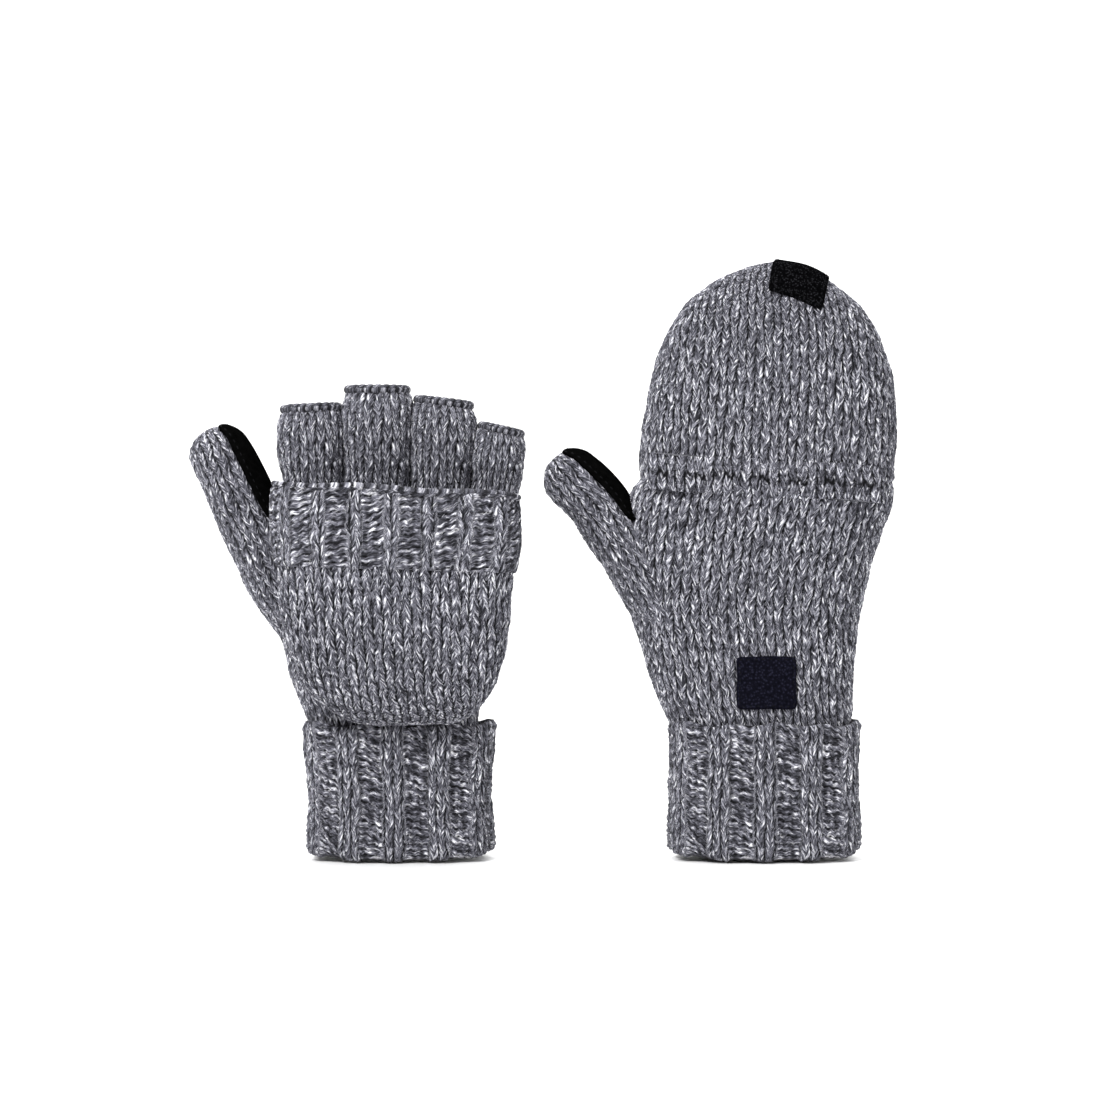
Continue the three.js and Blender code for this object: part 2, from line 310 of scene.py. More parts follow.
def round_top(t, power=1.0):
    """A half round over each unit of t, from 0 at the edges to 1 in the middle."""
    return np.maximum(1 - (2 * (t - np.floor(t)) - 1) ** 2, 0) ** (0.5 * power)


def legs(wale, course, half=None):
    """Where a point is on the yarn of plain knitting: across the leg, along it, and which stack."""
    half = np.floor(2 * wale) if half is None else half
    along = 2 * wale - half
    rising = np.where(half % 2 == 0, 1 - along, along)
    wobble = 0.12 * np.sin(1.7 * half + 0.9 * course) + 0.10 * np.sin(2.3 * course + half * half)
    return course - SLANT * rising + wobble, along, half


def bars(wale, course):
    """Where a point is on the yarn of purl knitting, whose loops lie across as wavy bars."""
    wave = 0.10 * np.sin(2 * np.pi * wale) + 0.2 * np.sin(0.55 * course + 0.9 * wale) + 0.34 * wale
    return 1.05 * course + wave, wale * 0.9 + 0.37 * np.floor(1.05 * course + wave)


def knit_height(wale, course, purl):
    """Height of the relief, from 0 in a groove to 1 on a crest, mixing plain and purl."""
    across, along, _ = legs(wale, course)
    chance = np.sin(12.9 * np.floor(2 * wale) + 78.2 * np.floor(across)) * 43758.5
    chance = chance - np.floor(chance)
    leg = (0.55 + 0.45 * round_top(along, 0.9)) * (0.22 + 0.78 * round_top(across, 0.9))
    vees = round_top(wale, 0.8) * leg * (0.78 + 0.22 * chance)
    bar, reach = bars(wale, course)
    rough = round_top(bar, 0.8) * (0.7 + 0.3 * np.sin(np.pi * reach + 2.1 * np.floor(bar)) ** 2)
    return vees * (1 - purl) + (0.72 * rough) * purl


def no_purl(wale):
    """Plain stitches everywhere."""
    return np.zeros_like(wale)


def lumps(points):
    """Slow unevenness of hand-knitted fabric: crossed waves, 20 to 60 mm long."""
    x, y, z = (points[..., k] for k in range(3))
    return LUMP_HIGH * (np.sin(x / 6.1 + 0.7 * np.sin(z / 9.0)) * np.sin(z / 7.3 + y / 11)
                        + 0.6 * np.sin(x / 3.6 + z / 4.4 + 1.3) * np.cos(z / 5.2 - x / 8.0))


def ribbed(period, share):
    """A rib: purl on the given share of each period of columns, with soft sides."""
    def mask(wale):
        t = wale / period + 0.5
        t = np.abs((t - np.floor(t)) - 0.5) * 2
        return np.clip((t - (1 - share)) * period * 0.9 + 0.5, 0, 1)
    return mask


print("stitch relief:", YARN_HIGH, "mm high, stitches", WALE, "by", COURSE, "mm")

# %% [markdown]
# ## From arrays to a mesh
# `skin` takes rows of points, joins each row to the next, and closes the ends with a fan or
# by joining the last row to the first. The place on the yarn is stored at face corners, so
# it can jump cleanly from one stack of legs to the next.

# %% Join a grid's points
def faces_of(rows, cols, joined):
    """Quads between neighbouring rows, and a fan of triangles at each end unless joined.

    The middle points of the two fans come after all points of the rows.
    """
    i = np.arange(rows if joined else rows - 1)[:, None]
    k = np.arange(cols)[None, :]
    above, beside = (i + 1) % rows, (k + 1) % cols
    quads = np.stack([i * cols + k, i * cols + beside, above * cols + beside, above * cols + k], axis=-1)
    if joined:
        return quads.reshape(-1, 4), np.zeros((0, 3), int)
    ring, ring_next, last = np.arange(cols), (np.arange(cols) + 1) % cols, (rows - 1) * cols
    fans = np.concatenate([
        np.stack([np.full(cols, rows * cols), ring_next, ring], axis=-1),
        np.stack([np.full(cols, rows * cols + 1), last + ring, last + ring_next], axis=-1)])
    return quads.reshape(-1, 4), fans


# %% Store the place on the yarn
PURL_LANE = 40.5             # third coordinate on the yarn for all purl, clear of the stacks of legs


def lay_yarn(mesh, yarn, height, loops, sizes):
    """Stores the place on the yarn at every corner, and the height at every vertex.

    Columns are counted from the mean of the corner's face, so that all corners of one face
    agree on the stack of legs that they belong to. The fans' middle points get zeros.
    """
    total = len(mesh.vertices)
    filled = np.zeros((4, total))
    for target, values in zip(filled, (*yarn, height)):
        target[: values.size] = values.reshape(-1)
    wale, course, purl, depth = filled
    face = np.repeat(np.arange(len(sizes)), sizes)
    mean_wale = np.bincount(face, wale[loops]) / sizes
    half = np.floor(2 * mean_wale)[face]
    across, along, stack = legs(wale[loops], course[loops], half)
    bar, reach = bars(wale[loops], course[loops])
    use_bar = purl[loops] > 0.5
    place = np.stack([np.where(use_bar, bar, across), np.where(use_bar, reach, along),
                      np.where(use_bar, PURL_LANE, stack * 1.37)], axis=-1)
    layer = mesh.attributes.new("yarn", "FLOAT_VECTOR", "CORNER")
    layer.data.foreach_set("vector", place.astype(np.float32).reshape(-1))
    # The height goes out as the crest attribute; the wool paints low heights dark, as painted shade in the
    # grooves.
    layer = mesh.attributes.new("crest", "FLOAT", "POINT")
    layer.data.foreach_set("value", depth.astype(np.float32))


# %% Build closed meshes
def skin(name, body, points, middle, joined, yarn=None, height=None):
    """A closed mesh from rows of points that close around.

    joined True joins the last row to the first; otherwise both ends get a fan. yarn holds
    (wale, course, purl) arrays for the rows that it covers, and height the relief. A piece
    that spans two bodies is given no body here.
    """
    rows, cols = points.shape[:2]
    verts = (points.reshape(-1, 3) + np.array([middle[0], middle[1], 0.0])) * MM
    quads, fans = faces_of(rows, cols, joined)
    if not joined:
        verts = np.vstack([verts, verts[:cols].mean(0), verts[-cols:].mean(0)])
    loops = np.concatenate([quads.reshape(-1), fans.reshape(-1)])
    sizes = np.concatenate([np.full(len(quads), 4), np.full(len(fans), 3)])
    starts = np.concatenate([[0], np.cumsum(sizes)[:-1]])
    p, q, r, s = (verts[quads[:, corner]] for corner in range(4))
    inside_out = (p * np.cross(q, r)).sum() + (p * np.cross(r, s)).sum() < 0
    if inside_out:
        face = np.repeat(np.arange(len(sizes)), sizes)
        loops = loops[2 * starts[face] + sizes[face] - 1 - np.arange(len(loops))]
    mesh = bpy.data.meshes.new(name)
    mesh.vertices.add(len(verts))
    mesh.vertices.foreach_set("co", verts.reshape(-1))
    mesh.loops.add(len(loops))
    mesh.loops.foreach_set("vertex_index", loops.astype(np.int32))
    mesh.polygons.add(len(sizes))
    mesh.polygons.foreach_set("loop_start", starts.astype(np.int32))
    mesh.polygons.foreach_set("loop_total", sizes.astype(np.int32))
    mesh.update(calc_edges=True)
    mesh.validate()
    mesh.polygons.foreach_set("use_smooth", np.full(len(mesh.polygons), True))
    if yarn is not None:
        lay_yarn(mesh, yarn, height, loops, sizes)
    piece = bpy.data.objects.new(name, mesh)
    bpy.context.scene.collection.objects.link(piece)
    if body:
        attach(piece, body)
    return piece


# %% [markdown]
# ## One function for every knitted piece
# Hand, cuff, cap, band, thumb and stubs are all tubes of the same fabric. `knit` puts the
# stitches on a smooth skin and gives it a plain inner wall. Towards a round tip there are
# fewer columns, which run out at the sides as decreases do, so stitches keep their width.

# %% Place the stitches
def mirrored(turns):
    """Turns from the middle of the back, and on the palm side from the middle of the palm."""
    from_back = turns - 0.5
    beyond = np.sign(from_back) * (0.5 - np.abs(from_back))
    return np.where(np.abs(from_back) <= 0.25, from_back, beyond)


def adrift(wale, rows_up):
    """Columns that wander a tenth of a stitch or so, as hand-knitted ones do."""
    return wale + 0.10 * np.sin(0.7 * rows_up + 1.9 * wale) + 0.07 * np.sin(1.9 * rows_up - 0.8 * wale)


def stitch_places(around, where, turns, across, ease):
    """Column and row counts over a tube, with fewer columns where the way around is short."""
    columns = across * (around / around.max()) ** ease
    wale = columns[:, None] * mirrored(turns)[None, :] + 0.25
    rows_up = np.broadcast_to((where / COURSE)[:, None], wale.shape)
    wale = adrift(wale, rows_up)
    return wale, rows_up + 0.25 * np.sin(0.9 * wale + 0.23 * rows_up)


# %% Knit a tube
WALL = 2.6                   # mm from the smooth skin to the inner wall
ROUNDED_ROWS = 5             # rows over which an edge curls in to the inner wall
INNER_STEP = 6               # the inner wall has one row for so many outside
INNER_PAINTED_SHADE = 0.35            # height of the inner wall for the paint, between groove and crest, so it is painted dark as shade


def knit(name, body, stations, middle, shape, across, purl=no_purl, tip=False, ease=0.5,
         outset=None, wall=WALL, high=YARN_HIGH):
    """A knitted tube or pouch.

    shape(rows, turns) gives the smooth skin. The relief stands on it along its normals, and
    an inner wall lies the wall's thickness inside. across is the number of columns round
    the widest ring; ease says how fast that number falls as the ring narrows.
    """
    _, length = through(stations, 60)
    courses = length[-1] / COURSE
    count = max(int(courses * PER_STITCH * UP_STITCH), 12)
    cols = int(across * PER_STITCH)
    cols += cols % 2
    rows, where = through(stations, count)
    turns = np.arange(cols) / cols
    base = shape(rows, turns)
    facing = normals(base)
    if (facing * (base - base.mean(axis=1, keepdims=True))).sum() < 0:
        facing = -facing
    around = np.linalg.norm(np.roll(base, -1, axis=1) - base, axis=-1).sum(axis=1)
    wale, rows_up = stitch_places(around, where, turns, across, ease)
    is_purl = purl(wale)
    relief = knit_height(wale, rows_up, is_purl)
    lift = (relief - 0.75) * high + lumps(base)
    if outset is not None:
        lift = lift + outset(turns, where / where[-1])
    ends = np.ones(count)
    fade = np.sin(np.linspace(0, np.pi / 2, ROUNDED_ROWS))
    ends[:ROUNDED_ROWS] = fade
    if not tip:
        ends[-ROUNDED_ROWS:] = fade[::-1]
    near_tip = np.clip((around / WALE - 3) / 6, 0, 1)[:, None] if tip else 1.0
    outer = base + facing * ((lift * near_tip) - wall * 0.5 * (1 - ends)[:, None])[..., None]
    keep = np.append(np.arange(0, count - 1, INNER_STEP), count - 1)
    if tip:
        keep = keep[:-1]
    inner = (base[keep] - facing[keep] * wall)[::-1]
    points = np.concatenate([inner, outer] if tip else [outer, inner])
    fill = lambda v: np.concatenate([v[keep][::-1], v] if tip else [v, v[keep][::-1]])
    height = fill(relief)
    # The inner wall gets a middling height, so the wool paints it dark: painted shade inside the tube.
    height[slice(0, len(keep)) if tip else slice(count, None)] = INNER_PAINTED_SHADE
    piece = skin(name, body, points, middle, not tip, (fill(wale), fill(rows_up), fill(is_purl)), height)
    print(name, "columns", round(across), "courses", round(courses), "faces", len(piece.data.polygons))
    return piece


# %% [markdown]
# ## Marled wool
# The yarn is spun from dark, mid-grey and near-white fibres. Long light and dark streaks run
# along each leg, because the fibres do; between the legs it is painted nearly black, as painted
# shade in the grooves. A finer streak gives single fibres, and a slanting ripple gives the
# twist of the plies. Sheen stands for the halo of fuzz.

# %% Paint the wool
def wool(name):
    """Streaky grey wool that follows the yarn attribute, with painted shade in the grooves."""
    paint = Paint(name)
    yarn = paint.node("ShaderNodeAttribute", {"attribute_name": "yarn"}, out=1)
    crest = paint.node("ShaderNodeAttribute", {"attribute_name": "crest"}, out=2)
    stretch = lambda x, y, z: paint.node("ShaderNodeMapping", {}, yarn, Scale=(x, y, z))
    noise = lambda place, detail, rough: paint.node(
        "ShaderNodeTexNoise", {}, Vector=place, Scale=1.0, Detail=detail, Roughness=rough)
    streak = noise(stretch(1.85, 1.15, 5.1), 2.0, 0.6)
    fibre = noise(stretch(7.0, 2.6, 9.3), 2.0, 0.65)
    blend = streak * 0.66 + fibre * 0.34
    colours = paint.node("ShaderNodeValToRGB", {"stops": [
        (0.36, grey(0.008, 1.25)), (0.45, grey(0.048, 1.22)), (0.53, grey(0.15, 1.20)),
        (0.585, grey(0.42, 1.12)), (0.645, grey(0.98, 1.03))]}, blend)
    # Painted shade: a low crest, in the grooves and between the legs, mixes the marl toward near black.
    depth = paint.node("ShaderNodeMapRange", {"interpolation_type": "SMOOTHSTEP"},
                       crest, 0.20, 0.68, 0.0, 1.0)
    colour = paint.mix(depth, grey(0.003, 1.3), colours)
    twist = paint.node("ShaderNodeTexWave", {"wave_profile": "SIN", "bands_direction": "X"},
                       Vector=stretch(1.0, 1.0, 0.0), Scale=0.62, Distortion=2.2, Detail=1.0)
    bump = paint.node("ShaderNodeBump", {}, Strength=0.55, Distance=0.0005,
                      Height=fibre * 0.7 + twist * 0.3)
    paint.shader.inputs["Sheen Weight"].default_value = 0.06
    paint.shader.inputs["Sheen Roughness"].default_value = 0.5
    paint.shader.inputs["Specular IOR Level"].default_value = 0.1
    return paint.surface(Base_Color=colour, Roughness=0.92, Normal=bump)


wool_material = wool("marled_wool")
print("material:", wool_material.name)

# %% [markdown]
# ## The knitted hands
# The hand is a flattened tube of plain knitting, from inside the cuff to the knuckles. It
# could be a copied solid with a knit pattern painted on, but then its outline would be
# smooth; here the stitches are part of the mesh, so they also show along the edge.

# %% Knit the hands
def tube_shape(wide=2.2):
    """Plain rings, for tubes about so many times as wide as deep."""
    return lambda rows, turns: rings(rows, turns, wide=wide)


def dress(piece, material, slot, *nodes):
    """Gives a piece its material and hides the CAD nodes that it stands for."""
    piece.data.materials.append(material)
    if nodes:
        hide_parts(*nodes)
    return piece


for key, mitten in MITTENS.items():
    hand = knit(f"{key}_hand_knit", f"{key}_hand", mitten["hand"], mitten["middle"], tube_shape(), 65)
    dress(hand, wool_material, "knit", f"{key}_hand_shell")

# %% [markdown]
# ## Cuffs
# The cuff is a broad rib, folded up on itself, so it is two layers. On the outer layer, two
# or three columns of plain stitches stand between as many of purl, which sink back. The
# ribs are an outset of the same knitted tube, so that stitches and ribs stay in step.

# %% Knit the cuffs
CUFF_COLUMNS = 60
CUFF_RIB = ribbed(5.3, 0.52)
RIB_DEEP = 1.5               # mm that the purl columns sink back
LINING_INSET = 4.6           # mm from the outer layer to the inner one


def sunk(mask, columns, deep):
    """An outset that sinks the purl columns, as ribs pull in."""
    def outset(turns, along):
        return -deep * mask(columns * mirrored(turns) + 0.25)[None, :] * np.ones_like(along)[:, None]
    return outset


def cuff_shape(rows, turns):
    """A tube whose lower edge lifts a little at the sides and whose upper edge is uneven."""
    points = rings(rows, turns, wide=1.6)
    x, z = points[..., 0], points[..., 2]
    low = np.clip(1 - z / 14, 0, 1) ** 2 * 2.0 * np.clip(np.abs(x) / 41, 0, 1) ** 4
    high = np.clip((z - 44) / 14, 0, 1) * (0.7 * np.sin(x / 3.1) + 0.6 * np.sin(x / 7.3 + 1))
    points[..., 2] = z + low + high
    return points


def lining_stations(cuff):
    """The cuff's stations drawn in all round, and a little shorter at both ends."""
    inset = np.array([0, 1, -1, 1, -1]) * LINING_INSET
    lining = [tuple(np.array(row, float) + inset) for row in cuff]
    lining[0] = (1.2, *lining[0][1:])
    lining[-1] = (56, *lining[-1][1:])
    return lining


for key, mitten in MITTENS.items():
    turnup = knit(f"{key}_cuff_rib", f"{key}_hand", mitten["cuff"], mitten["middle"], cuff_shape,
                  CUFF_COLUMNS, CUFF_RIB, ease=0.0, outset=sunk(CUFF_RIB, CUFF_COLUMNS, RIB_DEEP), wall=3.2)
    dress(turnup, wool_material, "knit", f"{key}_cuff_turnup")
    inner = knit(f"{key}_cuff_inside", f"{key}_hand", lining_stations(mitten["cuff"]), mitten["middle"],
                 tube_shape(wide=1.6), 40, wall=1.6)
    dress(inner, wool_material, "knit", f"{key}_cuff_inner")

# %% [markdown]
# ## Thumbs
# The thumb's tube follows a curved middle line out of the side of the hand. Its rings stand
# square to that line, and its tip is a half ball. It reaches from the hand onto the swinging
# thumb, so it is given no body and its place is baked into the mesh.

# %% Knit the thumbs
def thumb_stations(line):
    """The thumb's middle line with its two radii, carried over a half-ball tip."""
    x, z, wide, deep = np.array(line, float)[-1]
    before = np.array(line, float)[-2]
    way = np.array([x - before[0], z - before[1]])
    way /= np.linalg.norm(way)
    angles = np.radians([22, 44, 64, 80, 89])
    ball = [(x + way[0] * wide * math.sin(a), z + way[1] * wide * math.sin(a),
             wide * math.cos(a), deep * math.cos(a)) for a in angles]
    return [(px, pz, w, d, 0.0) for px, pz, w, d in [*line, *ball]]


def thumb_shape(rows, turns):
    """Ellipses square to the middle line: one radius across it, the other from back to palm."""
    centre = rows[:, :2]
    way = np.gradient(centre, axis=0)
    way /= np.maximum(np.linalg.norm(way, axis=1, keepdims=True), 1e-9)
    side = np.stack([way[:, 1], -way[:, 0]], axis=1)
    angle = 2 * np.pi * turns[None, :]
    off = -rows[:, 2, None] * np.sin(angle)
    x = centre[:, 0, None] + side[:, 0, None] * off
    z = centre[:, 1, None] + side[:, 1, None] * off
    return np.stack([x, rows[:, 3, None] * np.cos(angle), z], axis=-1)


THUMB_BEND = (-12, 14)       # mm along the thumb from its root where the bend starts and ends


def thumb_bend(mitten):
    """Where the thumb starts and ends its bend: a stretch of its middle line about the root."""
    (x0, z0, *_), (x1, z1, *_) = mitten["thumb"][2], mitten["thumb"][-1]
    x_way, z_way = np.array([x1 - x0, z1 - z0]) / math.hypot(x1 - x0, z1 - z0)
    x, y = mitten["middle"]
    return [((x0 + x_way * d + x) * MM, y * MM, (z0 + z_way * d) * MM) for d in THUMB_BEND]


for key, mitten in MITTENS.items():
    thumb = knit(f"{key}_thumb_knit", None, thumb_stations(mitten["thumb"]), mitten["middle"],
                 thumb_shape, 21, tip=True, ease=0.7)
    dress(thumb, wool_material, "knit", f"{key}_thumb_shell")
    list(thumb_bend(mitten))
    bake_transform(thumb)

# %% [markdown]
# ## Finger stubs
# Four short tubes stand out of the top of the hand, open where the fingers come out. Each is
# knitted like the hand, a little fuller halfway up, and its root is sunk into the hand so
# that no gap opens between them.

# %% Knit the stubs
STUB_IN_HAND = 7.0           # mm that a stub reaches down into the hand
STUB_FULLER = {0.0: -0.6, 0.3: 0.3, 0.62: 1.4, 0.84: 0.9, 0.95: -0.5, 1.0: -2.0}   # mm, by share of height


def stub_stations(mitten, row):
    """Stations from the root to the rim, drawn out or in by what STUB_FULLER says."""
    left, right, top_left, top_right, top = row
    back, palm = mitten["stub_depth"]
    low = mitten["hand"][-1][0] - STUB_IN_HAND
    return [(low + (top - low) * s, left + (top_left - left) * s - more,
             right + (top_right - right) * s + more, back - more, palm + more)
            for s, more in STUB_FULLER.items()]


# The x and y of the way each stub is pressed, and the x of the line that stays put.
PRESSED = {
    "index": (-0.6, 0.8, -24.0),
    "middle": (0.0, 1.0, 0.0),
    "ring": (0.0, 1.0, 0.0),
    "little": (0.6, 0.8, 32.0),
}
STUB_HINGE = (-14.5, 0.17)   # y in mm, z in m, of the line that stays put as a stub is pressed


def flatten_stub(piece, mitten, finger):
    """The thin cap, closing over the stubs, would press them flat and the outer two inwards; this moves no
    point, and only gives a folded mitten's stub its own copy of its mesh.
    """
    if mitten["folded"]:
        x, y = mitten["middle"]
        side, palm, at = PRESSED[finger]
        fixed_y, fixed_z = STUB_HINGE
        (x + at) * MM
        (y + fixed_y) * MM
        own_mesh(piece)


RIM_SLOPE = {"index": 0.05, "middle": 0.0, "ring": -0.12, "little": -0.22}   # rise over run, in x
KNUCKLES = 150.0             # height where a stub's rows start to slope


def stub_shape(finger, row):
    """A round tube whose rim slopes towards the little finger, more on the outer fingers."""
    centre, top = (row[2] + row[3]) / 2, row[4]

    def shape(rows, turns):
        points = rings(rows, turns, 2.2, 1.3)
        climb = np.clip((points[..., 2] - KNUCKLES) / (top - KNUCKLES), 0, 1)
        points[..., 2] += RIM_SLOPE[finger] * climb * (points[..., 0] - centre)
        return points
    return shape


for key, mitten in MITTENS.items():
    for finger, row in mitten["stubs"].items():
        stub = knit(f"{key}_{finger}_knit", f"{key}_hand", stub_stations(mitten, row), mitten["middle"],
                    stub_shape(finger, row), 22, wall=2.2, ease=0.0)
        dress(stub, wool_material, "knit", f"{key}_{finger}_stub")
        flatten_stub(stub, mitten, finger)

# %% [markdown]
# ## Caps
# The cap is a flat pouch. Its stations are counted from the fold line: distance to the tip,
# edges, and depth from the fold line towards the palm. Folded, it is the same pouch turned
# over, so one function places it both ways.

# %% Knit the caps
def cap_place(mitten, stations):
    """Cap stations as heights and y: upright when closed, hanging in front when folded."""
    sign = -1 if mitten["folded"] else 1
    placed = []
    for along, left, right, back, palm in stations:
        near, far = mitten["fold_y"] + sign * back, mitten["fold_y"] + sign * palm
        placed.append((mitten["fold_z"] + sign * along, left, right, near, far))
    return placed


ASKEW = 0.05                 # slope of the folded cap's open edge, lower towards the little finger


def cap_shape(mitten):
    """Rings of the cap. The folded one lies slightly askew, and straightens towards its tip."""
    def shape(rows, turns):
        points = rings(rows, turns)
        if mitten["folded"]:
            points[..., 2] -= ASKEW * points[..., 0] * np.clip((points[..., 2] - 85) / 60, 0, 1)
        return points
    return shape


def flatten_cap(piece, mitten):
    """An empty cap lies flatter once it is folded back; this moves no point, and only gives a closed cap's
    piece its own copy of its mesh.
    """
    if not mitten["folded"]:
        x, y = mitten["middle"]
        x * MM
        (y + BACK) * MM
        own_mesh(piece)


for key, mitten in MITTENS.items():
    columns = 60 if mitten["folded"] else 70
    cap = knit(f"{key}_cap_knit", f"{key}_cap", cap_place(mitten, mitten["cap"]), mitten["middle"],
               cap_shape(mitten), columns, tip=True, ease=0.8)
    dress(cap, wool_material, "knit", f"{key}_cap_shell")
    flatten_cap(cap, mitten)

# %% [markdown]
# ## Bands
# A ribbed band runs across the palm side of the cap's open edge. It is knitted on all round
# here, but on the back it lies inside the cap's wall, so only the palm half shows.

# %% Knit the bands
BAND_TALL = 31.0
BAND_RIB = ribbed(3.6, 0.62)
BAND_COLUMNS = 58


def band_outset(mitten):
    """Stands out on the palm side and sinks into the cap on the back."""
    reach = 0.29 if mitten["folded"] else 0.245

    def outset(turns, along):
        palm = np.clip((reach - np.minimum(turns, 1 - turns)) / 0.05, 0, 1)
        palm = palm * palm * (3 - 2 * palm)
        from_palm = np.minimum(turns, 1 - turns) * np.sign(0.5 - turns)
        rib = -1.0 * BAND_RIB(BAND_COLUMNS * from_palm + 0.25)
        swell = 0.8 * np.sin(np.pi * np.clip(along, 0, 1))[:, None]
        return (-4.2 + 6.2 * palm + rib * palm)[None, :] + swell * palm[None, :]
    return outset


for key, mitten in MITTENS.items():
    rows, _ = through(mitten["cap"], 200)
    low = rows[rows[:, 0] <= BAND_TALL]
    low = low[np.linspace(0, len(low) - 1, 6).astype(int)]
    band = knit(f"{key}_band_rib", f"{key}_cap", cap_place(mitten, low), mitten["middle"],
                cap_shape(mitten), BAND_COLUMNS, BAND_RIB, ease=0.0, outset=band_outset(mitten),
                wall=2.0, high=1.3)
    dress(band, wool_material, "knit", f"{key}_cap_band")
    flatten_cap(band, mitten)

# %% [markdown]
# ## Bound-off edges
# Knitting is finished by a chain of loops along its edge. Here that chain is a cord whose
# round section swells and turns along the way, carried round the rim of each stub and
# along the open edge of the band.

# %% Carry a chain round a rim
RINGS_A_LINK = 9


def chain(name, body, path, middle, radius, links, closed=True):
    """A chain along a path: a circle carried along it, whose radius beats with the links.

    Every link is a swelling, slanted round the cord, so it reads as one loop in the next.
    """
    at = np.linspace(0, 1, links * RINGS_A_LINK, endpoint=not closed)
    own = np.linspace(0, 1, len(path), endpoint=not closed)
    period = 1 if closed else None
    line = np.stack([np.interp(at, own, path[:, k], period=period) for k in range(3)], axis=-1)
    if closed:
        way = np.roll(line, -1, axis=0) - np.roll(line, 1, axis=0)
        out = line - line.mean(axis=0)
    else:
        way = np.gradient(line, axis=0)
        out = np.broadcast_to(np.array([0, -1.0, 0.0]), line.shape)
    way /= np.linalg.norm(way, axis=1, keepdims=True)
    side = np.cross(way, out)
    side /= np.linalg.norm(side, axis=1, keepdims=True)
    out = np.cross(side, way)
    turn = np.linspace(0, 2 * np.pi, 14, endpoint=False)[None, :]
    phase = at[:, None] * links + 0.16 * np.sin(turn) + 0.13 * np.cos(2 * turn)
    bead = round_top(phase, 0.9)
    reach = radius * (0.72 + 0.36 * bead)
    if not closed:
        reach = reach * np.sin(np.pi * np.clip(at, 0.004, 0.996))[:, None] ** 0.25
    points = line[:, None, :] + reach[..., None] * (
        np.cos(turn)[..., None] * out[:, None, :] + np.sin(turn)[..., None] * side[:, None, :])
    wale = np.broadcast_to(turn / (2 * np.pi) * 0.98, phase.shape)
    yarn = (wale, phase, np.ones_like(phase))
    # Low heights between links paint the wool darker there: painted shade between the links.
    piece = skin(name, body, points, middle, closed, yarn, 0.12 + 0.42 * bead)
    print(name, "links", links)
    return dress(piece, wool_material, "knit")


# %% Bind off the stubs
CHAIN_RADIUS = 1.8


def rim_of(stations, shape):
    """The closed line round the last ring of a tube."""
    last = np.array(stations[-1], float)[None, :]
    return shape(last, np.arange(90) / 90)[0]


for key, mitten in MITTENS.items():
    for finger, row in mitten["stubs"].items():
        rim = rim_of(stub_stations(mitten, row), stub_shape(finger, row))
        edge = chain(f"{key}_{finger}_edge", f"{key}_hand", rim, mitten["middle"], CHAIN_RADIUS, 21)
        flatten_stub(edge, mitten, finger)

# %% Bind off the bands
def band_edge(mitten):
    """The open edge of the cap on its palm side, standing out as the band does."""
    half_way = 0.268 if mitten["folded"] else 0.19
    turns = np.linspace(-1, 1, 160) * half_way
    first = np.array(cap_place(mitten, [mitten["cap"][0]]), float)
    palm = np.clip((0.29 - np.abs(turns)) / 0.05, 0, 1)
    grown = cap_shape(mitten)(first, turns % 1.0)[0]
    centre = np.array([(first[0, 1] + first[0, 2]) / 2, (first[0, 3] + first[0, 4]) / 2])
    away = grown[:, :2] - centre
    away /= np.linalg.norm(away, axis=1, keepdims=True)
    grown[:, :2] += away * (0.9 * palm - 0.6 * (1 - palm))[:, None]
    grown[:, 2] += (-0.6 if mitten["folded"] else 0.6) + 0.5 * np.sin(turns * 31)
    return grown


for key, mitten in MITTENS.items():
    edge = chain(f"{key}_band_edge", f"{key}_cap", band_edge(mitten), mitten["middle"], CHAIN_RADIUS, 27,
                 closed=False)
    flatten_cap(edge, mitten)

# %% [markdown]
# ## Patches
# Suede, hook tape and loop tape are thin slabs that follow the knit under them: suede on the
# inner side of the thumb, hooks on the tip of the cap, and loops low on the back of the hand,
# which hold the cap when it is folded back. A flat plate wrapped round by a modifier would
# cut into the knit, so a slab takes a grid of points on the skin and their outward
# directions, and rounds itself off at its edges.

# %% Build thin slabs
def slab(name, body, face, facing, middle, thick, lift=0.35, relief=None):
    """A thin closed slab over a grid: its outer face stands off the grid, its edges are rounded."""
    rows, cols = face.shape[:2]
    across = np.minimum(np.arange(cols), np.arange(cols)[::-1]) / 2.0
    along = np.minimum(np.arange(rows), np.arange(rows)[::-1]) / 2.0
    near = np.minimum(np.clip(along, 0, 1)[:, None], np.clip(across, 0, 1)[None, :])
    round_edge = np.sqrt(np.clip(1 - (1 - near) ** 2, 0, 1))
    height = lift + thick * (0.25 + 0.75 * round_edge)
    if relief is not None:
        height = height + relief * round_edge
    outer = face + facing * height[..., None]
    inner = face + facing * (lift * 0.3)
    points = np.concatenate([outer, inner[:, ::-1]], axis=1)
    return skin(name, body, points, middle, False)


def grid_normals(points, away_from):
    """Normals of an open grid, turned to face away from a point."""
    n = np.cross(np.gradient(points, axis=0), np.gradient(points, axis=1))
    n /= np.maximum(np.linalg.norm(n, axis=-1, keepdims=True), 1e-9)
    flip = np.sign(((points - np.asarray(away_from)) * n).sum(-1, keepdims=True).sum())
    return n * flip


def rounded_rectangle(across, along, corner):
    """Parameters of a grid whose corners are drawn in, both from -1 to 1."""
    a, b = np.meshgrid(across, along)
    pull = 1 - corner * np.abs(a) ** 8 * np.abs(b) ** 8
    return a * pull, b * pull


